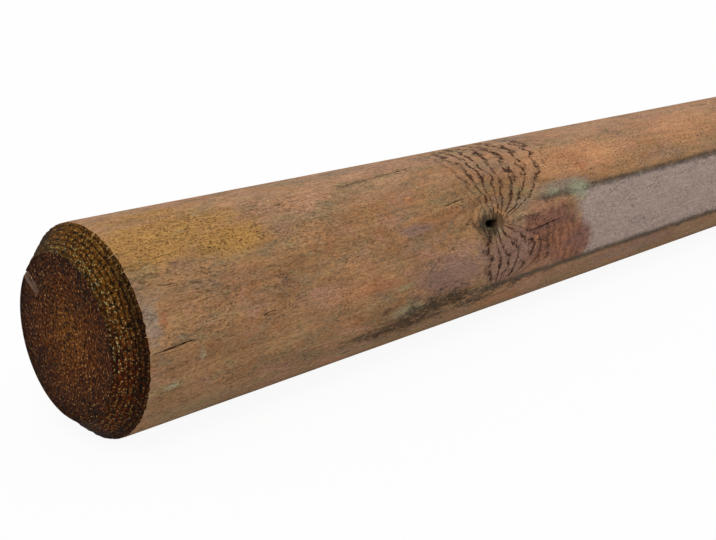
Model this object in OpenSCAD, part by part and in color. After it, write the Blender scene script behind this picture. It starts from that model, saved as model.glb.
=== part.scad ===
// Pointed wooden stake: a machine-rounded softwood pole with a chamfered head,
// a strip of natural trunk surface along one side and a driving point with four sawn faces.
// The trunk was a little thin underneath too, so a narrow flat is left there to lie on.
// The stake lies on the ground along X, its head at -X and its point at +X.
// Z = 0 is the ground, and the origin is under the middle of the stake.
// Places along the stake are measured from the head face. Turns round it are in degrees
// from -Y, and 90 is the top.

/* [Stake] */
// Length from the head face to the blunt tip
stake_length = 1500; // [1200:10:2500]
// Diameter of the milled shaft
shaft_d = 100; // [70:1:140]

/* [Head] */
// How far the head's chamfer comes in from the shaft
chamfer_width = 11.5; // [2:0.5:20]
// How far the head's chamfer runs along the shaft
chamfer_length = 11.5; // [2:0.5:30]
// Depth of the split in the head's rim, towards the heart
split_depth = 27; // [5:1:30]
// Width of the split at the rim
split_width = 2.4; // [0.5:0.1:5]
// How far the split runs along the stake
split_length = 16; // [5:1:60]
// Turn of the split round the head
split_turn = 142; // [100:1:260]

/* [Point] */
// Length of the sawn faces
point_length = 200; // [100:5:300]
// Width across the blunt tip
tip_width = 14; // [6:1:30]

/* [Natural strip] */
// Start of the strip that the milling head missed
strip_start = 285; // [260:5:500]
// Length of the strip with its run-outs
strip_length = 365; // [200:5:800]
// Depth of the strip at its middle, below the milled round
strip_depth = 2.3; // [1:0.1:5]
// Radius of the trunk's own surface along the strip
trunk_r = 90; // [75:1:160]
// Length of the slope at each end of the strip
strip_runout = 45; // [10:5:80]
// Turn of the strip's middle
strip_turn = 3; // [-20:1:20]
// Depth of the narrow flat underneath
under_flat_depth = 0.6; // [0.3:0.1:2]

/* [Knot] */
// Distance of the knot from the head face
knot_place = 241; // [60:1:280]
// Turn of the knot
knot_turn = 21; // [-30:1:60]
// Diameter of the open hole in the knot
knot_hole_d = 5; // [3:0.5:10]
// Depth of the open hole
knot_hole_depth = 14; // [5:1:30]
// Diameter of the hollow round the knot
knot_hollow_d = 17; // [8:1:30]
// Depth of the hollow round the knot
knot_hollow_depth = 1.6; // [0.5:0.1:3]
// How far the branch leans towards the head
branch_lean = 45; // [0:1:50]

/* [Drying checks] */
// Width of a drying check at the surface
check_width = 0.9; // [0.4:0.1:3]
// Depth of a drying check at its middle
check_depth = 6; // [2:0.5:15]

/* [Hidden] */
$fn = 96;
past = 2;
shaft_r = shaft_d / 2;
heart_height = shaft_r - under_flat_depth;
head_r = shaft_r - chamfer_width;
tip_half = tip_width / 2;
point_start = stake_length - point_length;
point_slope = atan2(shaft_r - tip_half, point_length);
face_length = norm([shaft_r - tip_half, point_length]);

// The trunk's surface and the milled round cross at strip_edge, measured from the heart
trunk_centre = shaft_r - strip_depth - trunk_r;
strip_edge = (shaft_r^2 - trunk_r^2 + trunk_centre^2) / (2 * trunk_centre);
strip_end = strip_start + strip_length;

// A ball of this radius leaves a hollow of the stated diameter and depth
hollow_ball_r = (knot_hollow_d^2 / 4 + knot_hollow_depth^2) / (2 * knot_hollow_depth);

// Each drying check: start, turn at its middle, slant of its line in degrees, length
checks = [
    [11, 3.5, 4, 27],
    [148, 73, 4, 62],
    [208, 40, 5, 20],
    [271, 10.5, 4, 35],
    [540, 150, -2, 170],
    [760, 205, 2, 210],
    [930, 95, 3, 120]
];

// Lays down what is drawn with its head face at the origin and its point up the Z axis
module lie_down() {
    translate([-stake_length / 2, 0, heart_height])
        rotate([0, 90, 0])
            children();
}

// Turns the work so that +X points out of the shaft at the given turn
module face_turn(turn) {
    rotate([0, 0, -90 - turn])
        children();
}

module milled_round() {
    rotate_extrude()
        polygon([
            [0, 0],
            [head_r, 0],
            [shaft_r, chamfer_length],
            [shaft_r, stake_length],
            [0, stake_length]
        ]);
}

module point_cut(turn) {
    face_turn(turn)
        translate([shaft_r, 0, point_start])
            rotate([0, -point_slope, 0])
                translate([0, -shaft_d, -past])
                    cube([shaft_d, 2 * shaft_d, face_length + 2 * past]);
}

// What lies between the trunk's own surface and the milled round
module strip_cut() {
    face_turn(strip_turn)
        difference() {
            rotate([90, 0, 0])
                linear_extrude(height = 2 * shaft_d, center = true)
                    polygon([
                        [shaft_r + past, strip_start],
                        [strip_edge - past, strip_start + strip_runout],
                        [strip_edge - past, strip_end - strip_runout],
                        [shaft_r + past, strip_end]
                    ]);
            translate([trunk_centre, 0, 0])
                cylinder(r = trunk_r, h = stake_length);
        }
}

module under_flat_cut() {
    face_turn(-90)
        translate([heart_height, -shaft_r, -past])
            cube([shaft_r, shaft_d, stake_length + 2 * past]);
}

module knot_cut() {
    face_turn(knot_turn)
        translate([shaft_r, 0, knot_place]) {
            translate([hollow_ball_r - knot_hollow_depth, 0, 0])
                sphere(r = hollow_ball_r);
            rotate([0, -90 + branch_lean, 0])
                translate([0, 0, -past])
                    cylinder(d = knot_hole_d, h = knot_hole_depth + past);
        }
}

// A wedge that is deepest at its middle and runs out at both ends
module check_cut(start, turn, slant, run) {
    face_turn(turn)
        translate([shaft_r, 0, start + run / 2])
            rotate([slant, 0, 0])
                intersection() {
                    translate([0, 0, -run / 2])
                        linear_extrude(height = run)
                            polygon([
                                [-check_depth, 0],
                                [past, -check_width],
                                [past, check_width]
                            ]);
                    rotate([90, 0, 0])
                        linear_extrude(height = 4 * check_width, center = true)
                            polygon([
                                [0, -run / 2],
                                [past, -run / 2],
                                [past, run / 2],
                                [0, run / 2],
                                [-check_depth, run / 4],
                                [-check_depth, -run / 4]
                            ]);
                }
}

module head_split() {
    face_turn(split_turn)
        translate([0, 0, -past])
            linear_extrude(height = split_length + past)
                polygon([
                    [shaft_r - split_depth, 0],
                    [shaft_r + past, -split_width / 2],
                    [shaft_r + past, split_width / 2]
                ]);
}

module stake() {
    color("peru")
        lie_down()
            difference() {
                milled_round();
                for (turn = [0 : 90 : 270])
                    point_cut(turn);
                strip_cut();
                under_flat_cut();
                knot_cut();
                head_split();
                for (c = checks)
                    check_cut(c[0], c[1], c[2], c[3]);
            }
}

stake();
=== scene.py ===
import math

import bmesh
import bpy
from mathutils import Matrix, Vector, noise


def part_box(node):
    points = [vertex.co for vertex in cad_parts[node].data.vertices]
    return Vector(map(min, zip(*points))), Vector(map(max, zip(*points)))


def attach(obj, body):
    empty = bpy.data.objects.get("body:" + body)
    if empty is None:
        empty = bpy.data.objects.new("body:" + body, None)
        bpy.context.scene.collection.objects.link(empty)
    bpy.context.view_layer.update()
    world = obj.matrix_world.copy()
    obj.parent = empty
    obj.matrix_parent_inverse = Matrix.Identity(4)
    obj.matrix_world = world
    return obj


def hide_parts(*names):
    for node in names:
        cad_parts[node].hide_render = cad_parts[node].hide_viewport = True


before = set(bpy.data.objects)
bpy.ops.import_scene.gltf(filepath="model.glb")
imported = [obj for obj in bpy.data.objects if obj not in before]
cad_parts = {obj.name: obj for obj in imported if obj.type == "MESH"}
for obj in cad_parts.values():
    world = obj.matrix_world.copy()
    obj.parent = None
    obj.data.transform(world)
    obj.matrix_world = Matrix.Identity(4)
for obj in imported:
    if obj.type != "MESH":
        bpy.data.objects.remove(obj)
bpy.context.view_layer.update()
print("frame loaded")

# The stake lies along X with its head at -X. Places along it are in metres from the head face,
# and turns round it in degrees: 0 faces -Y and 90 is the top.
mm = 0.001
stakeLow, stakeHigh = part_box("stake")
headX = stakeLow.x
stakeLength = stakeHigh.x - stakeLow.x
shaftR = (stakeHigh.y - stakeLow.y) / 2
heartZ = stakeHigh.z - shaftR

stakeShape = {
    "chamfer": 11.5 * mm,
    "pointLength": 0.2,
    "tipWidth": 14 * mm,
    "stripStart": 0.285,
    "stripEnd": 0.65,
    "stripRunout": 45 * mm,
    "stripDepth": 2.3 * mm,
    "stripTurn": 3,
    "stripHalfTurn": 25.7,
    "trunkR": 90 * mm,
    "splitTurn": 142,
    "splitDepth": 27 * mm,
    "splitWidth": 2.4 * mm,
    "splitLength": 16 * mm,
    "columns": 184,
    "faceRings": 36,
    "chamferRows": 24,
    "nearEnd": 0.57,          # the part with knot and strip gets the finest rows
    "nearRows": 226,
    "farRows": 84,
    "pointRows": 60,
    "tipRings": 4,
    "fibreRelief": 0.16 * mm,
    "endRelief": 0.5 * mm,
    "chamferRelief": 0.35 * mm,
    "chamferWaves": 6.6,      # rows that the growth rings leave across the chamfer
    "sawRelief": 0.12 * mm,
    "sawWaves": 1900,         # radians a metre, so a saw mark every 3.3 mm
    "splitOnFace": 9 * mm,    # how deep the split is cut into the head face
    "splitOnRim": 11 * mm,    # and into the chamfer and the shaft
    "sharpTurn": 38,          # edges that turn more than this are drawn sharp
}
headR = shaftR - stakeShape["chamfer"]
pointStart = stakeLength - stakeShape["pointLength"]
tipHalf = stakeShape["tipWidth"] / 2
pointFall = (shaftR - tipHalf) / stakeShape["pointLength"]
pith = (-3.5 * mm, 2.5 * mm)  # centre of the growth rings, across and up from the heart

knot = {
    "place": 0.241,
    "turn": 21,
    "holeLong": 5 * mm,       # half length of the hole along the stake
    "holeWide": 2 * mm,
    "holeDepth": 11 * mm,
    "hollowR": 10 * mm,
    "hollowDepth": 1.5 * mm,
    "grainR": 8 * mm,         # the fibres part round this
    "lineDepth": 0.28 * mm,   # how deep the growth lines weather out
    "upperRise": 95 * mm,     # the upper lines meet again this far round the stake
    "upperLines": (-16, -7, 1, 9, 17, 26, 38, 53, 68, 84),  # mm from the middle line
    "lowerDrop": 41 * mm,
    "lowerLean": 7 * mm,
    "lowerLines": (-24, -12, -1, 5, 17, 29, 41, 53),
}

# Drying checks: start, turn at the middle, slant in degrees, length, half width, depth
checks = [
    (0.011, 3.5, 4, 0.027, 0.30 * mm, 1.2 * mm),
    (0.148, 73, 4, 0.062, 0.40 * mm, 1.8 * mm),
    (0.208, 40, 5, 0.020, 0.25 * mm, 0.8 * mm),
    (0.271, 10.5, 4, 0.035, 0.30 * mm, 1.0 * mm),
    (0.072, 6.5, 12, 0.010, 0.22 * mm, 0.6 * mm),
    (0.023, 34, -2, 0.010, 0.18 * mm, 0.5 * mm),
    (0.540, 150, -2, 0.170, 0.90 * mm, 5.0 * mm),
    (0.760, 205, 2, 0.210, 0.90 * mm, 5.0 * mm),
    (0.930, 95, 3, 0.120, 0.90 * mm, 4.0 * mm),
]

# Weathering on the round: place, turn, half length, half width in degrees, strength
stains = {
    "ochre": [
        (0.030, 60, 0.028, 15, 1.1), (0.070, 51, 0.022, 10, 1.1), (0.050, 64, 0.040, 15, 0.9),
        (0.040, 82, 0.040, 10, 0.7), (0.330, 58, 0.045, 15, 0.35), (0.120, 75, 0.060, 9, 0.3),
    ],
    "warm": [
        (0.350, 52, 0.060, 14, 1.0), (0.130, 3, 0.030, 9, 0.5), (0.480, 60, 0.060, 18, 0.8),
        (0.120, 40, 0.030, 10, 0.4), (0.400, 85, 0.090, 10, 0.5),
    ],
    "grey": [
        (0.316, 33, 0.024, 5, 1.2), (0.130, 62, 0.012, 3, 0.4),
        (0.015, 17, 0.005, 13, 1.0), (0.019, 30, 0.008, 6, 0.5), (0.248, 33, 0.012, 7, 0.5),
        (0.270, 29, 0.016, 4, 0.6), (0.445, 38, 0.030, 6, 0.6), (0.100, -38, 0.070, 8, 0.35),
        (0.315, 90, 0.020, 6, 0.9), (0.160, 90, 0.060, 8, 0.6), (0.230, 85, 0.020, 8, 0.5),
        (0.420, 85, 0.090, 10, 0.5), (0.390, -36, 0.050, 9, 0.6),
    ],
    "mauve": [
        (0.038, 41, 0.009, 6, 0.6), (0.098, 50, 0.012, 6, 0.6), (0.181, 29, 0.012, 3, 1.3),
        (0.205, -4, 0.030, 13, 1.1), (0.256, -4, 0.028, 20, 1.1), (0.255, 75, 0.030, 12, 0.3),
        (0.125, 20, 0.030, 8, 0.3), (0.370, 78, 0.050, 10, 0.4), (0.262, 58, 0.030, 12, 0.5),
        (0.400, -31, 0.110, 9, 0.7), (0.230, 2, 0.016, 9, 0.8),
    ],
    "dirt": [
        (0.090, 22, 0.004, 5, 0.55), (0.087, 5, 0.004, 3, 0.5), (0.108, 67, 0.004, 2.5, 0.8),
        (0.038, 66, 0.003, 2, 0.5), (0.018, 45, 0.006, 8, 0.5), (0.092, -30, 0.010, 3, 0.7),
        (0.142, 57, 0.004, 2.5, 0.5), (0.200, -23, 0.034, 8, 1.25), (0.172, -31, 0.040, 8, 1.2),
        (0.230, -30, 0.030, 8, 0.9), (0.265, -27, 0.030, 4, 0.8), (0.238, 21, 0.014, 7, 1.1),
        (0.262, 19, 0.014, 3, 0.6), (0.015, -30, 0.005, 10, 0.3), (0.290, -2, 0.006, 12, 0.8),
        (0.280, 18, 0.010, 4, 0.7), (0.236, 12, 0.008, 5, 0.9), (0.300, 26, 0.012, 3, 0.5),
    ],
    "green": [
        (0.047, 62, 0.004, 2, 0.7), (0.063, 73, 0.006, 3, 0.5), (0.023, -18, 0.005, 1.5, 1.2),
        (0.038, -4, 0.002, 6, 0.9), (0.028, 8, 0.003, 2, 0.7), (0.022, 46, 0.005, 7, 0.5),
        (0.117, 35, 0.004, 1.5, 0.8), (0.164, -3, 0.009, 1.5, 0.9), (0.175, -20, 0.022, 7, 0.9),
        (0.302, 31, 0.010, 4, 0.9), (0.328, 29, 0.012, 6, 1.2), (0.399, 28, 0.010, 2, 0.7),
        (0.455, 40, 0.015, 4, 0.4), (0.246, 15, 0.006, 4, 0.7), (0.330, 23, 0.008, 3, 1.0),
    ],
    "rust": [
        (0.021, 18, 0.003, 5, 0.9), (0.034, -9, 0.004, 3, 0.6), (0.066, 17, 0.007, 3, 0.5),
        (0.147, 2, 0.024, 6, 0.75), (0.120, -10, 0.030, 7, 0.4), (0.341, 45, 0.007, 3, 1.1),
        (0.310, 22, 0.006, 2, 0.8), (0.350, 78, 0.030, 8, 0.4), (0.335, 55, 0.025, 9, 0.7),
        (0.200, -12, 0.020, 4, 0.4), (0.390, -32, 0.020, 4, 0.4),
    ],
    "redFan": [
        (0.284, 12, 0.020, 8, 0.9), (0.298, 6, 0.020, 13, 1.3), (0.316, -8, 0.018, 12, 1.4),
        (0.326, -15, 0.011, 7, 1.1), (0.308, 17, 0.012, 6, 0.8), (0.285, -8, 0.016, 10, 0.7),
    ],
}


def smooth(value, low, high):
    share = min(1, max(0, (value - low) / (high - low)))
    return share * share * (3 - 2 * share)


def turnGap(turn, other):
    return (turn - other + 180) % 360 - 180


# Distance round the stake between two turns, at a radius
def arcGap(turn, other, radius):
    return math.radians(turnGap(turn, other)) * radius


def heartAt(place):
    return Vector((headX + place, 0, heartZ))


def outwardAt(turn):
    lean = math.radians(turn)
    return Vector((0, -math.cos(lean), math.sin(lean)))


# Cosine that turns a square's half width into its reach at a turn
def squareCos(turn):
    return math.cos(math.radians((turn + 45) % 90 - 45))


# Radius of the four sawn faces of the point
def sawnRadius(place, turn):
    return (shaftR - (place - pointStart) * pointFall) / squareCos(turn)


def stainAt(zones, place, turn):
    most = 0
    for middle, zoneTurn, halfLength, halfTurn, strength in zones:
        along = (place - middle) / halfLength
        if abs(along) < 2.4:
            across = turnGap(turn, zoneTurn) / halfTurn
            most = max(most, strength * math.exp(-0.7 * (along * along + across * across)))
    return most


def stripShare(place):
    start, end = stakeShape["stripStart"], stakeShape["stripEnd"]
    runout = stakeShape["stripRunout"]
    return smooth(place, start, start + runout) * (1 - smooth(place, end - runout, end))


# Radius of the trunk's own surface, where the milling head missed it
def trunkRadius(place, turn):
    depth = stakeShape["stripDepth"] * stripShare(place)
    lean = math.radians(turnGap(turn, stakeShape["stripTurn"]))
    if depth <= 0 or abs(lean) > 1:
        return shaftR
    trunkR = stakeShape["trunkR"]
    centre = shaftR - depth - trunkR
    return centre * math.cos(lean) + math.sqrt(trunkR ** 2 - (centre * math.sin(lean)) ** 2)


# Signed distance from the nearest drying check in half widths, its depth and how much it shows
def nearestCheck(place, turn):
    best = (9, 0, 0)  # far from any check
    for start, middleTurn, slant, length, halfWidth, depth in checks:
        along = place - start
        if -0.004 < along < length + 0.004:
            drift = (along - length / 2) * math.tan(math.radians(slant))
            wander = 0.5 * mm * noise.noise(Vector((place * 90, middleTurn, 3)))
            across = arcGap(turn, middleTurn, shaftR) - drift - wander
            opening = math.sin(math.pi * min(1, max(0, along / length))) ** 0.5
            if opening > 0.02:
                share = across / (halfWidth * opening)
                if abs(share) < abs(best[0]):
                    show = smooth(opening, 0.25, 0.6) * (1 - smooth(abs(share), 4, 7))
                    best = (share, depth * opening, show)
    return best


def knotSpot(place, turn):
    return place - knot["place"], arcGap(turn, knot["turn"], shaftR)


# Turns a distance into a count that is a whole number on each of the given lines
def countLines(lines, across):
    for count, (low, high) in enumerate(zip(lines, lines[1:])):
        if across < high * mm or high == lines[-1]:
            return count + (across / mm - low) / (high - low)


# Number of the growth line that shows at a spot by the knot, and how strongly it shows
def knotLines(along, around):
    near = smooth(math.hypot(along, around), 2 * mm, 7 * mm)
    if around > 0:
        rise = around / knot["upperRise"]
        if rise >= 1:
            return 0, 0
        bulge = max(0.05, math.sin(math.pi * rise) ** 0.5)
        across = along / bulge
        count = countLines(knot["upperLines"], across)
        strength = smooth(across, -24 * mm, 8 * mm) * (1 - smooth(across, 70 * mm, 84 * mm))
        strength *= 1 - 0.6 * smooth(rise, 0.6, 0.95)
        return count, strength * near * smooth(around, 0, 3 * mm)
    drop = -around / knot["lowerDrop"]
    if drop >= 1:
        return 0, 0
    bulge = max(0.05, math.sin(math.pi * drop) ** 0.8)
    across = (along - knot["lowerLean"] * drop) / bulge
    count = countLines(knot["lowerLines"], across)
    strength = smooth(across, -22 * mm, -10 * mm) * (1 - smooth(across, 36 * mm, 50 * mm))
    return count, strength * near * smooth(drop, 0, 0.08) * (1 - 0.4 * smooth(drop, 0.85, 1))


def edgesWithin(bm, picks):
    return [edge for edge in bm.edges if all(picks(vert) for vert in edge.verts)]


# Place along the stake, turn and radius of a vertex of the closed round
def spotOf(vert):
    across, up = vert.co.y, vert.co.z - heartZ
    turn = math.degrees(math.atan2(up, -across)) if abs(across) + abs(up) > 1e-6 else 0
    return vert.co.x - headX, turn, math.hypot(across, up)


def buildRound():
    bm = bmesh.new()
    stops = [
        (0, 0),
        (0, headR),
        (stakeShape["chamfer"], shaftR),
        (stakeShape["nearEnd"], shaftR),
        (pointStart, shaftR),
        (stakeLength, shaftR),
        (stakeLength, 0),
    ]
    counts = [
        stakeShape["faceRings"],
        stakeShape["chamferRows"],
        stakeShape["nearRows"],
        stakeShape["farRows"],
        stakeShape["pointRows"],
        stakeShape["tipRings"],
    ]
    corners = [bm.verts.new((headX + place, -radius, heartZ)) for place, radius in stops]
    runs = [bm.edges.new(pair) for pair in zip(corners, corners[1:])]
    for run, count in zip(runs, counts):
        bmesh.ops.subdivide_edges(bm, edges=[run], cuts=count - 1)
    bmesh.ops.spin(
        bm,
        geom=list(bm.verts) + list(bm.edges),
        cent=(0, 0, heartZ),
        axis=(1, 0, 0),
        angle=2 * math.pi,
        steps=stakeShape["columns"],
        use_merge=True,
    )
    bmesh.ops.remove_doubles(bm, verts=list(bm.verts), dist=1e-6)
    bmesh.ops.recalc_face_normals(bm, faces=list(bm.faces))
    return bm


# The mesh is closer where there is something small to carve
def refineRound(bm):
    def onFigure(vert):
        place, turn, radius = spotOf(vert)
        along, around = knotSpot(place, turn)
        return radius > headR and abs(along - 20 * mm) < 48 * mm and -42 * mm < around < 60 * mm

    def atKnot(vert):
        place, turn, radius = spotOf(vert)
        along, around = knotSpot(place, turn)
        return radius > headR and math.hypot(along, around) < 11 * mm

    def atCheck(vert):
        place, turn, radius = spotOf(vert)
        if radius < shaftR * 0.98:
            return False
        share, depth, _ = nearestCheck(place, turn)
        return depth > 0 and abs(share) < 7

    def atSplit(vert):
        place, turn, radius = spotOf(vert)
        gap = arcGap(turn, stakeShape["splitTurn"], radius)
        return place < stakeShape["splitLength"] + 3 * mm and abs(gap) < 4 * mm and radius > 18 * mm

    for picks, cuts in ((onFigure, 1), (atKnot, 1), (atCheck, 2), (atSplit, 1)):
        bmesh.ops.subdivide_edges(bm, edges=edgesWithin(bm, picks), cuts=cuts, use_grid_fill=True)


# How far open the split in the head's rim is at a spot, from 0 to 1
def splitOpening(place, turn, radius):
    reach = smooth(radius, shaftR - stakeShape["splitDepth"] * 0.9, shaftR)
    half = stakeShape["splitWidth"] / 2 * (0.3 + 0.7 * reach)
    gap = arcGap(turn, stakeShape["splitTurn"], radius)
    gap -= 1.2 * mm * noise.noise(Vector((radius * 160, place * 120, 7)))
    return 1 - smooth(abs(gap), half * 0.35, half * 1.5)


# How far the torn end grain of the head face lies below its plane
def faceSink(turn, radius, vert):
    torn = noise.fractal(Vector((3, vert.co.y * 260, vert.co.z * 260)), 0.9, 2.1, 4)
    bowl = noise.noise(Vector((9, vert.co.y * 45, vert.co.z * 45)))
    sink = stakeShape["endRelief"] * (0.55 + 0.5 * torn + 0.35 * bowl)
    reach = smooth(radius, shaftR - stakeShape["splitDepth"], headR)
    sink += splitOpening(0, turn, radius) * stakeShape["splitOnFace"] * reach
    return max(0, sink)


# The same for the chamfer, which the growth rings tear into rows
def chamferSink(place, turn, chips, vert):
    share = place / stakeShape["chamfer"]
    waver = 0.35 * noise.noise(outwardAt(turn) * 2.5)
    row = math.sin(2 * math.pi * (share * stakeShape["chamferWaves"] + waver))
    lumps = noise.noise(Vector((place * 520, vert.co.y * 520, vert.co.z * 520)))
    sink = 0.3 * mm + 0.12 * mm * row + stakeShape["chamferRelief"] * (chips + lumps)
    sink = max(0, sink * smooth(share, 0, 0.06))
    opened = splitOpening(place, turn, headR + share * (shaftR - headR))
    return sink + opened * stakeShape["splitOnRim"]


# The knot's growth lines, hollow and hole
def knotSink(place, turn):
    along, around = knotSpot(place, turn)
    spread = math.hypot(along, around)
    if spread >= 0.12:
        return 0
    count, strength = knotLines(along, around)
    wander = 0.22 * noise.noise(Vector((along * 220, around * 220, 2)))
    groove = abs((count + wander + 0.5) % 1 - 0.5)
    sink = knot["lineDepth"] * strength * (1 - smooth(groove, 0.04, 0.22))
    sink += knot["hollowDepth"] * (1 - smooth(spread, 0, knot["hollowR"]))
    ragged = 1 + 0.25 * noise.noise(Vector((along * 500, around * 500, 4)))
    hole = math.hypot(along / knot["holeLong"], around / knot["holeWide"]) * ragged
    return sink + knot["holeDepth"] * (1 - smooth(hole, 0.55, 1.15))


# Radius of the surface along the stake, and the relief of its fibres
def longSurface(place, turn, chips, vert):
    ripple = noise.noise(Vector((place * 30, vert.co.y * 260, vert.co.z * 260)))
    fibres = stakeShape["fibreRelief"] * (0.5 + 0.5 * ripple)
    surface = min(shaftR, trunkRadius(place, turn))
    if surface < shaftR - 1e-6:
        fibres *= 1.6
    down = -math.sin(math.radians(turn))
    if down > 0.9:  # narrow flat underneath
        surface = min(surface, heartZ / down)
        fibres *= smooth(surface, heartZ, shaftR)
    if place > pointStart and sawnRadius(place, turn) < surface:
        surface = sawnRadius(place, turn)
        waver = 2.5 * noise.noise(Vector((place * 40, turn * 0.02, 1)))
        sawn = math.sin(place * stakeShape["sawWaves"] + waver)
        fibres = stakeShape["sawRelief"] * (1 + sawn) + 0.1 * mm * (1 + chips)
    return surface, fibres


# Moves a vertex of the plain round to where the wood's surface really is
def carve(vert):
    place, turn, radius = spotOf(vert)
    outward = outwardAt(turn)
    heart = heartAt(place)
    chamfer = stakeShape["chamfer"]
    chips = noise.noise(Vector((place * 300, vert.co.y * 300, vert.co.z * 300)))
    if place < 1e-5 and radius < headR - 1e-5:
        vert.co = heart + outward * radius + Vector((faceSink(turn, radius, vert), 0, 0))
        return
    if place < chamfer - 1e-5:
        sink = 0.7 * chamferSink(place, turn, chips, vert)
        plain = headR + place / chamfer * (shaftR - headR)
        vert.co = heart + outward * (plain - sink) + Vector((sink, 0, 0))
        return
    if place > stakeLength - 1e-5:  # blunt tip
        rough = 0.4 * mm * (1 + chips) * (1 - radius / shaftR)
        reach = radius / shaftR * tipHalf / squareCos(turn)
        vert.co = heart + outward * reach - Vector((rough, 0, 0))
        return

    surface, sink = longSurface(place, turn, chips, vert)
    sink += knotSink(place, turn)
    share, depth, _ = nearestCheck(place, turn)
    if abs(share) < 2:
        sink += depth * (1 - smooth(abs(share), 0.1, 1.6))
    if place < stakeShape["splitLength"] * 1.2:
        opened = splitOpening(place, turn, shaftR)
        fading = 1 - smooth(place, chamfer, stakeShape["splitLength"])
        sink += opened * stakeShape["splitOnRim"] * fading
    shift = 0
    if place < chamfer + 1e-5:  # ragged rim
        teeth = noise.noise(outward * 34 + Vector((5, 0, 0)))
        shift = 0.7 * mm * teeth + 0.5 * mm * noise.noise(outward * 90)
        sink += 0.25 * mm * (1 + noise.noise(outward * 60))
    vert.co = heart + outward * (surface - sink) + Vector((shift, 0, 0))


stakeFields = (
    "ochre", "warm", "grey", "mauve", "dirt", "green", "rust", "redFan", "strip", "stripLine",
    "check", "checkShow", "lineCount", "lineShow", "knotHeart", "fanCount", "split", "turnUp", "outRow",
    "farSide", "hole",
)


# Values that the wood's materials read, worked out before the carving moves anything
def fieldsAt(place, turn, radius):
    values = {name: stainAt(zones, place, turn) for name, zones in stains.items()}
    along, around = knotSpot(place, turn)
    values["lineCount"], values["lineShow"] = knotLines(along, around)
    values["knotHeart"] = 1 - smooth(math.hypot(along * 0.7, around), 2 * mm, 11 * mm)
    values["hole"] = math.hypot(along / knot["holeLong"], around / knot["holeWide"])
    bow = arcGap(turn, -3, shaftR)
    values["fanCount"] = (place - 0.276 + 6 * bow * bow) / 0.0075
    values["check"], _, values["checkShow"] = nearestCheck(place, turn)
    gap = arcGap(turn, stakeShape["splitTurn"], radius)
    past = max(0, place - stakeShape["splitLength"] * 0.8) + max(0, 29 * mm - radius)
    values["split"] = min(9, math.hypot(gap, past * 0.6) / mm)
    gap = turnGap(turn, stakeShape["stripTurn"])
    half = stakeShape["stripHalfTurn"]
    inStrip = 1 - smooth(abs(gap), half - 1.5, half + 1)
    values["strip"] = inStrip * smooth(place, 0.300, 0.352) * (1 - smooth(place, 0.60, 0.64))
    # dark lines by the strip's edges: a weathering line, and painted shade in the crease
    upper = 0.9 * math.exp(-(((gap - half + 0.2) / 3.2) ** 2)) * smooth(place, 0.262, 0.300)
    lower = math.exp(-(((gap + half + 0.5) / 2.9) ** 2)) * smooth(place, 0.195, 0.245)
    values["stripLine"] = max(upper, lower) * (1 - smooth(place, 0.60, 0.645))
    values["turnUp"] = math.sin(math.radians(turn))
    slant = place / stakeShape["chamfer"] * math.hypot(stakeShape["chamfer"], shaftR - headR)
    values["outRow"] = radius if place < 1e-5 else headR + slant
    values["farSide"] = smooth(abs(turnGap(turn, 20)), 70, 110)
    return values


# Position with the fibres bent round the knot, and turned back to a straight run
def grainPointAt(place, turn, radius):
    along, around = knotSpot(place, turn)
    spread2 = along * along + around * around
    bend = -around * knot["grainR"] ** 2 * 3 / (spread2 + knot["grainR"] ** 2 * 2)
    straight = math.radians(turn) + bend / shaftR
    return Vector((place, -radius * math.cos(straight), radius * math.sin(straight)))


def finishRound(bm):
    layers = {name: bm.verts.layers.float.new(name) for name in stakeFields}
    grainLayer = bm.verts.layers.float_vector.new("grainPoint")
    endLayer = bm.verts.layers.float_vector.new("endPlace")
    for vert in bm.verts:
        place, turn, radius = spotOf(vert)
        for name, value in fieldsAt(place, turn, radius).items():
            vert[layers[name]] = value
        vert[grainLayer] = grainPointAt(place, turn, radius)
        outRow = vert[layers["outRow"]]
        vert[endLayer] = outwardAt(turn) * outRow + Vector((outRow, 0, 0))
    for face in bm.faces:
        middle = face.calc_center_median()
        place = middle.x - headX
        if place < stakeShape["chamfer"]:
            face.material_index = 1
        elif place > pointStart:
            turn = math.degrees(math.atan2(middle.z - heartZ, -middle.y))
            face.material_index = 2 if sawnRadius(place, turn) < shaftR else 0
    for vert in bm.verts:
        carve(vert)
    for face in bm.faces:
        face.smooth = True
    sharpAngle = math.radians(stakeShape["sharpTurn"])
    for edge in bm.edges:
        if len(edge.link_faces) == 2 and edge.calc_face_angle(0) > sharpAngle:
            edge.smooth = False


def addPiece(name, bm, materials):
    mesh = bpy.data.meshes.new(name)
    bm.to_mesh(mesh)
    bm.free()
    for material in materials:
        mesh.materials.append(material)
    piece = bpy.data.objects.new(name, mesh)
    bpy.context.scene.collection.objects.link(piece)
    return piece


def newMaterial(name):
    material = bpy.data.materials.new(name)
    material.use_nodes = True
    tree = material.node_tree
    tree.nodes.clear()
    return material, tree


def feed(tree, socket, value):
    if isinstance(value, bpy.types.NodeSocket):
        tree.links.new(value, socket)
    else:
        socket.default_value = value


def calc(tree, operation, first, second=0.0, third=0.0, clamp=False):
    node = tree.nodes.new("ShaderNodeMath")
    node.operation = operation
    node.use_clamp = clamp
    for socket, value in zip(node.inputs, (first, second, third)):
        feed(tree, socket, value)
    return node.outputs[0]


def fade(tree, value, low, high, toLow=0.0, toHigh=1.0):
    node = tree.nodes.new("ShaderNodeMapRange")
    node.interpolation_type = "SMOOTHSTEP"
    for socket, item in zip(node.inputs, (value, low, high, toLow, toHigh)):
        feed(tree, socket, item)
    return node.outputs[0]


def fieldValue(tree, name):
    node = tree.nodes.new("ShaderNodeAttribute")
    node.attribute_name = name
    return node.outputs["Vector"] if name in ("grainPoint", "endPlace") else node.outputs["Fac"]


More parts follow.
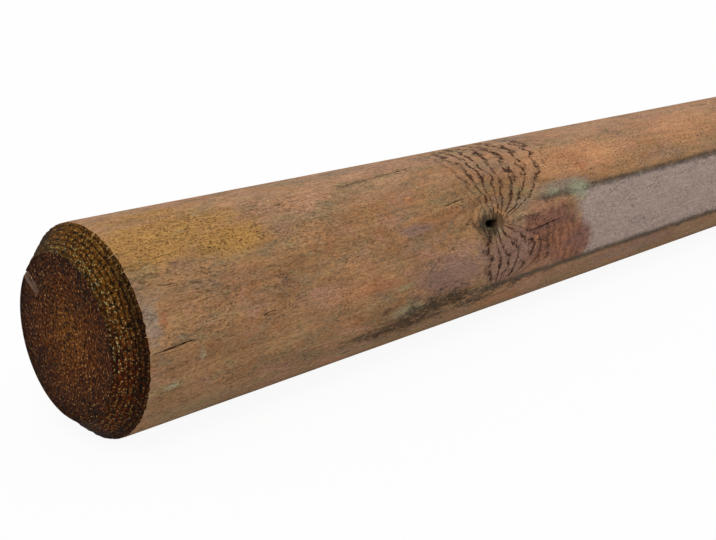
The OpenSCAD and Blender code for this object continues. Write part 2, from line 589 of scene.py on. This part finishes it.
def stretched(tree, point, scale, shift=(0, 0, 0)):
    node = tree.nodes.new("ShaderNodeMapping")
    feed(tree, node.inputs["Vector"], point)
    node.inputs["Scale"].default_value = scale
    node.inputs["Location"].default_value = shift
    return node.outputs[0]


def noiseAt(tree, point, scale, detail=2.0, roughness=0.5, distortion=0.0, shift=(0, 0, 0)):
    node = tree.nodes.new("ShaderNodeTexNoise")
    feed(tree, node.inputs["Vector"], stretched(tree, point, scale, shift))
    node.inputs["Scale"].default_value = 1
    node.inputs["Detail"].default_value = detail
    node.inputs["Roughness"].default_value = roughness
    node.inputs["Distortion"].default_value = distortion
    return node.outputs["Fac"]


def cellsAt(tree, point, scale, shift=(0, 0, 0)):
    node = tree.nodes.new("ShaderNodeTexVoronoi")
    feed(tree, node.inputs["Vector"], stretched(tree, point, scale, shift))
    node.inputs["Scale"].default_value = 1
    node.inputs["Randomness"].default_value = 1
    return node.outputs["Distance"]


def tone(red, green, blue):
    shares = [value / 255 for value in (red, green, blue)]
    linear = [s / 12.92 if s <= 0.04045 else ((s + 0.055) / 1.055) ** 2.4 for s in shares]
    return (*linear, 1)


def blendColors(tree, amount, first, second):
    node = tree.nodes.new("ShaderNodeMix")
    node.data_type = "RGBA"
    feed(tree, node.inputs[0], amount)
    feed(tree, node.inputs[6], first)
    feed(tree, node.inputs[7], second)
    return node.outputs[2]


# Lays a color over another where a mask is white, up to an amount
def layOver(tree, color, mask, amount, over):
    return blendColors(tree, calc(tree, "MULTIPLY", mask, amount), color, over)


# Swings a value about its middle of 0.5, adds that to a base
def swing(tree, value, amount, base):
    return calc(tree, "MULTIPLY_ADD", calc(tree, "SUBTRACT", value, 0.5), amount, base)


def brighten(tree, color, amount):
    node = tree.nodes.new("ShaderNodeVectorMath")
    node.operation = "SCALE"
    feed(tree, node.inputs[0], color)
    feed(tree, node.inputs["Scale"], amount)
    return node.outputs[0]


# A stain whose edge is broken up by a noise
def stainMask(tree, name, breakup, spread, low, high):
    return fade(tree, swing(tree, breakup, spread, fieldValue(tree, name)), low, high)


def objectPoint(tree):
    return tree.nodes.new("ShaderNodeTexCoord").outputs["Object"]


# Distance from the line of the pith, which the growth rings run round
def pithDistance(tree, spot):
    length = tree.nodes.new("ShaderNodeVectorMath")
    length.operation = "LENGTH"
    centred = stretched(tree, spot, (0, 1, 1), (0, -pith[0], -heartZ - pith[1]))
    feed(tree, length.inputs[0], centred)
    return length.outputs["Value"]


def finishMaterial(tree, color, roughness, height, depth, shine=0.25):
    shader = tree.nodes.new("ShaderNodeBsdfPrincipled")
    bump = tree.nodes.new("ShaderNodeBump")
    output = tree.nodes.new("ShaderNodeOutputMaterial")
    bump.inputs["Strength"].default_value = 1
    bump.inputs["Distance"].default_value = depth
    feed(tree, bump.inputs["Height"], height)
    feed(tree, shader.inputs["Base Color"], color)
    feed(tree, shader.inputs["Roughness"], roughness)
    feed(tree, shader.inputs["Normal"], bump.outputs[0])
    shader.inputs["Specular IOR Level"].default_value = shine
    tree.links.new(shader.outputs[0], output.inputs["Surface"])


# Fibres, clouds and grit that all of the long grain shares
def longGrain(tree, grain):
    return {
        "fibre": noiseAt(tree, grain, (260, 1500, 1500), 3, 0.7),
        "cloud": noiseAt(tree, grain, (16, 60, 60), 5, 0.65, 0.4),
        "grit": noiseAt(tree, grain, (650, 1000, 1000), 3, 0.75, shift=(8, 8, 1)),
    }


milledColors = {
    "tan": tone(162, 122, 84),
    "brown": tone(138, 100, 67),
    "pinkTint": tone(168, 124, 104),
    "greenTint": tone(144, 126, 90),
    "orangeTint": tone(166, 114, 74),
    "greyTint": tone(132, 110, 84),
    # painted highlight: the paler colour laid on the top of the round
    "paintedTopHighlight": tone(192, 148, 116),
    "underSide": tone(146, 116, 86),
    "ochre": tone(176, 132, 72),
    "pore": tone(92, 58, 28),
    "grey": tone(138, 124, 110),
    "mauve": tone(136, 106, 92),
    "pink": tone(172, 122, 106),
    "dirt": tone(48, 38, 26),
    "green": tone(152, 152, 124),
    "rust": tone(158, 92, 60),
    "warm": tone(202, 146, 104),
    "redFan": tone(150, 100, 74),
    "redFanMauve": tone(122, 84, 74),
    "redFanDark": tone(70, 40, 30),
    "strip": tone(160, 140, 130),
    "stripFleck": tone(104, 86, 80),
    "stripLight": tone(184, 164, 152),
    # weathering line and painted shade along the strip's edges
    "stripLine": tone(76, 66, 56),
    "growthLine": tone(54, 30, 20),
    "moss": tone(92, 88, 52),
    # painted shade, near black, down in the split, the drying checks and the knot hole
    "gap": tone(14, 9, 6),
    "freshSplit": tone(196, 160, 136),
}


def milledWood():
    material, tree = newMaterial("milledWood")
    colors = milledColors
    grain = fieldValue(tree, "grainPoint")
    spot = objectPoint(tree)
    wood = longGrain(tree, grain)
    fleck = noiseAt(tree, grain, (560, 1100, 1100), 3, 0.7, shift=(3, 1, 7))
    streak = noiseAt(tree, grain, (34, 420, 420), 3, 0.6, shift=(1, 5, 2))
    breakup = noiseAt(tree, grain, (100, 220, 220), 5, 0.75, 0.4, shift=(2, 2, 2))
    finer = noiseAt(tree, grain, (300, 700, 700), 4, 0.75, shift=(6, 3, 3))

    # ground of the wood: brown and tan clouds, a painted highlight that makes it paler on top, with
    # faint tints
    cloudy = fade(tree, wood["cloud"], 0.36, 0.64)
    color = blendColors(tree, cloudy, colors["brown"], colors["tan"])
    up = fieldValue(tree, "turnUp")
    color = blendColors(tree, fade(tree, up, 0.7, 1.0, 0, 0.7), color, colors["paintedTopHighlight"])
    color = blendColors(tree, fade(tree, up, -0.3, -0.75, 0, 0.8), color, colors["underSide"])
    tints = (
        ("pinkTint", (26, 52, 52), (1, 2, 3), 0.8),
        ("greenTint", (36, 80, 80), (4, 5, 6), 0.75),
        ("orangeTint", (24, 60, 60), (7, 8, 9), 0.6),
        ("greyTint", (48, 100, 100), (9, 1, 5), 0.75),
    )
    for name, scale, shift, amount in tints:
        tint = noiseAt(tree, grain, scale, 6, 0.72, 0.5, shift=shift)
        color = blendColors(tree, fade(tree, tint, 0.48, 0.68, 0, amount), color, colors[name])

    # weathering, in the places that the stains give
    ochre = stainMask(tree, "ochre", breakup, 1.3, 0.2, 0.9)
    color = layOver(tree, color, ochre, 0.85, colors["ochre"])
    pores = noiseAt(tree, grain, (800, 1300, 1300), 2, 0.6)
    color = layOver(tree, color, ochre, fade(tree, pores, 0.54, 0.64, 0, 0.8), colors["pore"])
    warm = stainMask(tree, "warm", breakup, 1.5, 0.1, 1.0)
    color = layOver(tree, color, warm, 0.7, colors["warm"])
    grey = stainMask(tree, "grey", breakup, 1.4, 0.25, 0.95)
    color = layOver(tree, color, grey, 0.7, colors["grey"])
    mauve = stainMask(tree, "mauve", breakup, 1.3, 0.2, 0.95)
    mauveColor = blendColors(tree, fade(tree, finer, 0.56, 0.68), colors["mauve"], colors["pink"])
    color = layOver(tree, color, mauve, 0.85, mauveColor)
    rust = stainMask(tree, "rust", finer, 1.6, 0.3, 1.1)
    color = layOver(tree, color, rust, 0.6, colors["rust"])

    # natural strip of the trunk
    strip = stainMask(tree, "strip", breakup, 0.9, 0.3, 0.75)
    lighter = fade(tree, finer, 0.5, 0.66, 0, 0.7)
    stripColor = blendColors(tree, lighter, colors["strip"], colors["stripLight"])
    specks = noiseAt(tree, spot, (420, 800, 800), 3, 0.65)
    specks = fade(tree, specks, 0.54, 0.68, 0, 0.55)
    stripColor = blendColors(tree, specks, stripColor, colors["stripFleck"])
    color = blendColors(tree, strip, color, stripColor)

    # red-brown fan of crossed growth layers beside the knot
    fan = stainMask(tree, "redFan", breakup, 1.1, 0.2, 0.75)
    wobble = noiseAt(tree, spot, (75, 130, 130), 3, 0.5, shift=(1, 1, 4))
    fanPhase = calc(tree, "MULTIPLY_ADD", wobble, 2.4, fieldValue(tree, "fanCount"))
    fanDark = fade(tree, calc(tree, "PINGPONG", fanPhase, 0.5), 0, 0.42, 1, 0)
    fanDark = calc(tree, "MULTIPLY", fanDark, fade(tree, finer, 0.35, 0.6, 0.35, 1))
    patchy = fade(tree, wood["cloud"], 0.4, 0.6)
    fanColor = blendColors(tree, patchy, colors["redFan"], colors["redFanMauve"])
    fanFade = fade(tree, wood["cloud"], 0.35, 0.6, 0.8, 0.45)
    fanColor = layOver(tree, fanColor, fanDark, fanFade, colors["redFanDark"])
    color = layOver(tree, color, fan, 0.92, fanColor)

    # dark lines along the strip's edges, partly a weathering line and partly painted shade in the
    # crease where the strip meets the round; algae and dirt
    line = stainMask(tree, "stripLine", breakup, 1.5, 0.1, 1.0)
    color = layOver(tree, color, line, 0.85, colors["stripLine"])
    green = stainMask(tree, "green", finer, 1.6, 0.3, 1.2)
    color = layOver(tree, color, green, 0.75, colors["green"])
    dirt = stainMask(tree, "dirt", swing(tree, breakup, 1.0, finer), 2.5, 0.3, 1.3)
    color = layOver(tree, color, dirt, 0.88, colors["dirt"])

    # growth lines round the knot
    kink = noiseAt(tree, spot, (190, 190, 190), 4, 0.6, shift=(7, 7, 7))
    drift = noiseAt(tree, spot, (70, 90, 90), 2, 0.5, shift=(4, 7, 1))
    kinked = calc(tree, "MULTIPLY_ADD", kink, 1.4, fieldValue(tree, "lineCount"))
    kinked = calc(tree, "MULTIPLY_ADD", drift, 1.6, kinked)
    lineGap = calc(tree, "PINGPONG", calc(tree, "SUBTRACT", kinked, 1.5), 0.5)
    growth = fade(tree, lineGap, 0.05, 0.25, 1, 0)
    growth = calc(tree, "MULTIPLY", growth, fieldValue(tree, "lineShow"))
    dashes = noiseAt(tree, spot, (300, 300, 300), 3, 0.6, shift=(5, 0, 0))
    growth = calc(tree, "MULTIPLY", growth, fade(tree, dashes, 0.4, 0.54, 0.3, 1))
    color = layOver(tree, color, growth, 0.95, colors["growthLine"])

    # dark, mossy heart of the knot
    heart = fieldValue(tree, "knotHeart")
    heartDark = fade(tree, swing(tree, breakup, 2.8, heart), 0.2, 0.85)
    heartFade = fade(tree, finer, 0.4, 0.6, 0.95, 0.3)
    color = layOver(tree, color, heartDark, heartFade, colors["dirt"])
    tufts = noiseAt(tree, spot, (700, 700, 700), 2, 0.6)
    color = layOver(tree, color, heart, fade(tree, tufts, 0.55, 0.68, 0, 0.8), colors["moss"])

    # fibres over everything, calmer on the strip
    shade = calc(tree, "MULTIPLY_ADD", wood["fibre"], 1.45, 0.275)
    shade = swing(tree, streak, 0.75, shade)
    shade = swing(tree, wood["grit"], 1.5, shade)
    pitted = noiseAt(tree, grain, (30, 60, 60), 3, 0.6, shift=(3, 7, 5))
    pitted = fade(tree, pitted, 0.4, 0.62, 0.25, 1)
    pits = calc(tree, "MULTIPLY", fade(tree, fleck, 0.55, 0.66), pitted)
    hairs = noiseAt(tree, grain, (190, 1500, 1500), 3, 0.65, 0.4, shift=(5, 9, 2))
    shade = calc(tree, "MULTIPLY", shade, fade(tree, hairs, 0.60, 0.68, 1, 0.55))
    shade = calc(tree, "MULTIPLY", shade, calc(tree, "MULTIPLY_ADD", pits, -0.45, 1.0))
    calm = calc(tree, "MULTIPLY_ADD", calc(tree, "SUBTRACT", shade, 1.0), 0.6, 1.0)
    shade = fade(tree, strip, 0, 1, shade, calm)
    color = brighten(tree, color, calc(tree, "MAXIMUM", shade, 0.25))

    # the split, the drying checks and the hole in the knot: pale torn wood by the split, and painted
    # shade, near black, down in all three
    split = calc(tree, "MULTIPLY_ADD", finer, 1.4, fieldValue(tree, "split"))
    color = blendColors(tree, fade(tree, split, 2.0, 4.5, 0.8, 0), color, colors["freshSplit"])
    color = blendColors(tree, fade(tree, split, 1.2, 2.0, 1, 0), color, colors["gap"])
    checkGap = calc(tree, "ABSOLUTE", swing(tree, finer, 1.6, fieldValue(tree, "check")))
    # painted shade down in the drying checks
    checkShade = fade(tree, checkGap, 0.5, 1.5, 0.92, 0)
    color = layOver(tree, color, checkShade, fieldValue(tree, "checkShow"), colors["gap"])
    holeEdge = calc(tree, "MULTIPLY_ADD", finer, 0.8, fieldValue(tree, "hole"))
    color = blendColors(tree, fade(tree, holeEdge, 1.2, 1.7, 1, 0), color, colors["gap"])

    height = calc(tree, "MULTIPLY_ADD", wood["fibre"], 0.6, calc(tree, "MULTIPLY", streak, 0.5))
    height = calc(tree, "MULTIPLY_ADD", wood["grit"], 0.6, height)
    height = calc(tree, "MULTIPLY_ADD", pits, -0.5, height)
    height = calc(tree, "MULTIPLY_ADD", growth, -0.7, height)
    roughness = fade(tree, streak, 0.3, 0.7, 0.75, 0.95)
    finishMaterial(tree, color, roughness, height, 0.5 * mm, 0.1)
    return material


endColors = {
    "heart": tone(132, 78, 26),
    "middle": tone(104, 54, 16),
    "outer": tone(78, 36, 10),
    "dark": tone(14, 6, 2),
    # pale fibre ends, and the colour of the painted glints
    "fleck": tone(206, 164, 104),
    "bead": tone(206, 166, 90),
    "beadGreen": tone(190, 186, 128),
    # painted light and shade of the chamfer: a lit top and shaded sides
    "chamferLitTop": tone(118, 74, 22),
    "chamferShadedSide": tone(92, 40, 12),
    "freshSplit": tone(138, 110, 92),
}
endRings = {  # spacing of the growth rings
    "faceGap": 1.75 * mm,
    "chamferGap": 2.45 * mm,
    "pointGap": 2.1 * mm,
}


def endGrain():
    material, tree = newMaterial("endGrain")
    colors = endColors
    spot = objectPoint(tree)
    outRow = fieldValue(tree, "outRow")
    up = fieldValue(tree, "turnUp")
    onChamfer = fade(tree, outRow, headR - 0.3 * mm, headR + 0.4 * mm)

    # growth rings on the face run round the pith, on the chamfer they run with the rim
    waver = noiseAt(tree, spot, (110, 110, 110), 4, 0.65)
    ringR = calc(tree, "MULTIPLY_ADD", waver, 3.0 * mm, pithDistance(tree, spot))
    faceRing = calc(tree, "PINGPONG", calc(tree, "DIVIDE", ringR, endRings["faceGap"]), 0.5)
    rowR = calc(tree, "MULTIPLY_ADD", waver, 2.2 * mm, outRow)
    chamferRing = calc(tree, "PINGPONG", calc(tree, "DIVIDE", rowR, endRings["chamferGap"]), 0.5)

    coarse = noiseAt(tree, spot, (520, 520, 520), 3, 0.7)
    fine = noiseAt(tree, spot, (850, 850, 850), 3, 0.8, shift=(3, 3, 3))
    patch = noiseAt(tree, spot, (70, 70, 70), 4, 0.65, shift=(9, 1, 1))
    beadCells = cellsAt(tree, fieldValue(tree, "endPlace"), (700, 700, 700))
    glints = cellsAt(tree, spot, (780, 780, 780), shift=(2, 2, 2))

    # sawn face: orange-brown heart, darker outwards, with dark pockets, pale fibre ends and painted
    # glints
    heartward = fade(tree, ringR, 4 * mm, 20 * mm)
    face = blendColors(tree, heartward, colors["heart"], colors["middle"])
    face = blendColors(tree, fade(tree, ringR, 20 * mm, 37 * mm), face, colors["outer"])
    face = blendColors(tree, fade(tree, patch, 0.5, 0.7, 0, 0.6), face, colors["dark"])
    ringDark = fade(tree, faceRing, 0.05, 0.35, 0.75, 0.25)
    face = layOver(tree, face, ringDark, fade(tree, coarse, 0.62, 0.4), colors["dark"])
    ringLit = fade(tree, faceRing, 0.15, 0.42, 0.35, 1)
    lit = calc(tree, "MULTIPLY", ringLit, fade(tree, fine, 0.56, 0.7))
    face = layOver(tree, face, lit, 0.35, colors["fleck"])
    face = blendColors(tree, fade(tree, glints, 0.5, 0.8, 0, 0.85), face, colors["dark"])
    # painted highlight: pale glint specks in the middles of the cells
    glint = fade(tree, glints, 0.12, 0.36, 0.9, 0)
    glint = calc(tree, "MULTIPLY", glint, fade(tree, coarse, 0.48, 0.58))
    face = layOver(tree, face, glint, ringLit, colors["fleck"])

    # chamfer: painted light and shade, lighter on top and darker on the sides, on the outer rows and
    # along the inner edge; rows of beads between dark grooves, greener along the inner rows
    side = blendColors(tree, fade(tree, up, -0.1, 0.8), colors["chamferShadedSide"], colors["chamferLitTop"])
    groove = fade(tree, chamferRing, 0.05, 0.35, 1, 0)
    side = layOver(tree, side, groove, 0.65, colors["dark"])
    side = blendColors(tree, fade(tree, coarse, 0.36, 0.58, 0.95, 0), side, colors["dark"])
    beads = fade(tree, beadCells, 0.2, 0.48, 1, 0)
    beads = calc(tree, "MULTIPLY", beads, fade(tree, chamferRing, 0.12, 0.34, 0.1, 1))
    beads = calc(tree, "MULTIPLY", beads, fade(tree, patch, 0.3, 0.62, 0.4, 1))
    innerBand = fade(tree, outRow, headR + 9 * mm, headR + 3 * mm)
    innerBand = calc(tree, "MULTIPLY", innerBand, fade(tree, up, -0.5, 0.3))
    beadColor = blendColors(tree, innerBand, colors["bead"], colors["beadGreen"])
    beadShow = calc(tree, "MULTIPLY_ADD", innerBand, 0.35, 0.5)
    side = layOver(tree, side, beads, beadShow, beadColor)
    # painted highlight: the same glints on the chamfer
    side = blendColors(tree, glint, side, colors["fleck"])
    # painted shade: darker over the outer rows except on top, and along the inner edge by the face
    outerShade = fade(tree, outRow, headR + 7 * mm, headR + 13 * mm, 0, 0.6)
    outerShade = calc(tree, "MULTIPLY", outerShade, fade(tree, up, 0.95, 0.7))
    innerShade = fade(tree, outRow, headR, headR + 2.5 * mm, 0.6, 0)
    bothShades = calc(tree, "MAXIMUM", outerShade, innerShade)
    side = blendColors(tree, bothShades, side, colors["dark"])

    color = blendColors(tree, onChamfer, face, side)
    # painted shade: the outermost rows darker on the sides turned away from the front
    rimShade = fade(tree, fieldValue(tree, "farSide"), 0.2, 0.9, 0, 0.6)
    outermost = fade(tree, outRow, headR - 8 * mm, headR + 2 * mm)
    color = layOver(tree, color, rimShade, outermost, colors["dark"])
    shade = calc(tree, "MULTIPLY_ADD", fine, 4.0, -1.1)
    color = brighten(tree, color, calc(tree, "MAXIMUM", shade, 0.12))

    # pale torn wood beside the split, and painted shade in the cleft
    split = calc(tree, "MULTIPLY_ADD", coarse, 3.0, fieldValue(tree, "split"))
    paleEdge = calc(tree, "MULTIPLY_ADD", patch, 3.0, split)
    color = blendColors(tree, fade(tree, paleEdge, 4.2, 6.0, 0.6, 0), color, colors["freshSplit"])
    cleftShade = fade(tree, split, 1.8, 2.6, 1, 0)
    color = layOver(tree, color, cleftShade, fade(tree, outRow, 0.8 * headR, headR, 0.3, 1), colors["dark"])

    height = calc(tree, "MULTIPLY_ADD", fine, 0.7, calc(tree, "MULTIPLY", coarse, 0.8))
    height = calc(tree, "MULTIPLY_ADD", onChamfer, chamferRing, height)
    height = calc(tree, "MULTIPLY_ADD", beads, 0.6, height)
    roughness = fade(tree, coarse, 0.35, 0.7, 0.65, 0.95)
    finishMaterial(tree, color, roughness, height, 0.8 * mm, 0.05)
    return material


sawnColors = {
    "early": tone(166, 132, 92),
    "shaded": tone(140, 108, 72),
    "late": tone(104, 68, 40),
    "treated": tone(126, 116, 84),
}


def sawnPoint():
    material, tree = newMaterial("sawnPoint")
    colors = sawnColors
    spot = objectPoint(tree)
    wood = longGrain(tree, spot)
    band = noiseAt(tree, spot, (8, 95, 95), 3, 0.55, shift=(4, 2, 9))
    waver = noiseAt(tree, spot, (16, 60, 60), 3, 0.6)
    ringR = calc(tree, "MULTIPLY_ADD", waver, 3 * mm, pithDistance(tree, spot))
    ring = calc(tree, "PINGPONG", calc(tree, "DIVIDE", ringR, endRings["pointGap"]), 0.5)
    cloudy = fade(tree, wood["cloud"], 0.35, 0.65)
    color = blendColors(tree, cloudy, colors["shaded"], colors["early"])
    color = blendColors(tree, fade(tree, ring, 0.05, 0.3, 0.6, 0), color, colors["late"])
    color = blendColors(tree, fade(tree, band, 0.55, 0.75, 0, 0.6), color, colors["treated"])
    shade = calc(tree, "MULTIPLY_ADD", wood["fibre"], 0.55, 0.72)
    shade = calc(tree, "MULTIPLY", shade, calc(tree, "MULTIPLY_ADD", wood["grit"], 0.5, 0.75))
    color = brighten(tree, color, shade)
    saw = noiseAt(tree, spot, (900, 25, 25), 2, 0.5)
    height = calc(tree, "MULTIPLY_ADD", saw, 0.8, calc(tree, "MULTIPLY", wood["fibre"], 0.4))
    height = calc(tree, "MULTIPLY_ADD", ring, 0.4, height)
    finishMaterial(tree, color, 0.85, height, 0.4 * mm)
    return material


rimSplinters = {
    "places": [(75, 3.0), (57, 4.0), (46, 2.4), (62, 1.4), (12, 1.2)],  # turn, length in mm
    "thickness": 0.5 * mm,
    "tip": 0.08 * mm,
    "flatness": 0.5,
    "lean": 0.85,             # inwards for each step towards the head
}


def buildSplinters():
    bm = bmesh.new()
    for turn, length in rimSplinters["places"]:
        run = length * mm
        made = bmesh.ops.create_cone(
            bm,
            cap_ends=True,
            segments=6,
            radius1=rimSplinters["thickness"],
            radius2=rimSplinters["tip"],
            depth=run,
        )
        outward = outwardAt(turn)
        root = heartAt(stakeShape["chamfer"]) + outward * (shaftR - 0.5 * mm)
        along = Vector((-1, 0, 0)) - outward * rimSplinters["lean"]
        middle = root + along.normalized() * run * 0.35
        facing = along.to_track_quat("Z", "Y").to_matrix().to_4x4()
        flatten = Matrix.Diagonal((1, rimSplinters["flatness"], 1, 1))
        placed = Matrix.Translation(middle) @ facing @ flatten
        bmesh.ops.transform(bm, matrix=placed, verts=made["verts"])
    bmesh.ops.recalc_face_normals(bm, faces=list(bm.faces))
    return bm


def splinterWood():
    material, tree = newMaterial("splinterWood")
    spot = objectPoint(tree)
    fibre = noiseAt(tree, spot, (500, 3000, 3000), 2, 0.6)
    color = blendColors(tree, fade(tree, fibre, 0.35, 0.65), tone(150, 108, 66), tone(206, 172, 128))
    finishMaterial(tree, color, 0.85, fibre, 0.1 * mm)
    return material


woodBm = buildRound()
refineRound(woodBm)
print("round spun,", len(woodBm.verts), "vertices")
finishRound(woodBm)
stakeWood = addPiece("stakeWood", woodBm, [milledWood(), endGrain(), sawnPoint()])
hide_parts("stake")
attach(stakeWood, "root")
print("stake carved")

splinters = addPiece("rimSplinters", buildSplinters(), [splinterWood()])
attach(splinters, "root")
print("rim splinters set")

studio = {
    "floorHalf": 6.0,
    "floorColor": (0.92, 0.92, 0.92, 1),
    "floorGlow": 0.93,        # share of the floor that the camera sees as plain white
    "worldStrength": 0.68,
    "keyFrom": (-0.55, -0.65, 1.5),
    "keyStrength": 1.0,
    "keySoftness": 35,        # degrees across the lamp
    "cameraFromHead": (-0.2214, -0.4081, 0.1651),
    "cameraLook": (0.67327, 0.68127, -0.28736),
    "cameraLens": 54.3,
}


def seenDirectly(tree):
    path = tree.nodes.new("ShaderNodeLightPath")
    direct = calc(tree, "ADD", path.outputs["Is Camera Ray"], path.outputs["Is Glossy Ray"])
    return calc(tree, "ADD", direct, path.outputs["Is Transmission Ray"], clamp=True)


def buildStudio():
    bm = bmesh.new()
    bmesh.ops.create_grid(bm, x_segments=1, y_segments=1, size=studio["floorHalf"])
    material, tree = newMaterial("paleFloor")
    plain = tree.nodes.new("ShaderNodeBsdfDiffuse")
    plain.inputs["Color"].default_value = studio["floorColor"]
    glow = tree.nodes.new("ShaderNodeEmission")
    mix = tree.nodes.new("ShaderNodeMixShader")
    output = tree.nodes.new("ShaderNodeOutputMaterial")
    share = calc(tree, "MULTIPLY", seenDirectly(tree), studio["floorGlow"])
    feed(tree, mix.inputs[0], share)
    tree.links.new(plain.outputs[0], mix.inputs[1])
    tree.links.new(glow.outputs[0], mix.inputs[2])
    tree.links.new(mix.outputs[0], output.inputs["Surface"])
    addPiece("floor", bm, [material])

    world = bpy.data.worlds.new("studioWorld")
    bpy.context.scene.world = world
    world.use_nodes = True
    tree = world.node_tree
    tree.nodes.clear()
    back = tree.nodes.new("ShaderNodeBackground")
    back.inputs["Color"].default_value = (1, 1, 1, 1)
    output = tree.nodes.new("ShaderNodeOutputWorld")
    strength = fade(tree, seenDirectly(tree), 0, 1, studio["worldStrength"], 1)
    feed(tree, back.inputs["Strength"], strength)
    tree.links.new(back.outputs[0], output.inputs["Surface"])

    lamp = bpy.data.lights.new("softKey", "SUN")
    lamp.energy = studio["keyStrength"]
    lamp.angle = math.radians(studio["keySoftness"])
    key = bpy.data.objects.new("softKey", lamp)
    key.rotation_euler = (-Vector(studio["keyFrom"])).to_track_quat("-Z", "Y").to_euler()
    bpy.context.scene.collection.objects.link(key)


def buildCamera():
    data = bpy.data.cameras.new("camera")
    data.lens = studio["cameraLens"]
    data.sensor_width = 36
    data.clip_start = 0.01
    camera = bpy.data.objects.new("camera", data)
    camera.location = heartAt(0) + Vector(studio["cameraFromHead"])
    look = Vector(studio["cameraLook"])
    camera.rotation_euler = look.to_track_quat("-Z", "Y").to_euler()
    bpy.context.scene.collection.objects.link(camera)
    bpy.context.scene.camera = camera


buildStudio()
buildCamera()
bpy.context.scene.view_settings.view_transform = "Standard"
print("studio set")
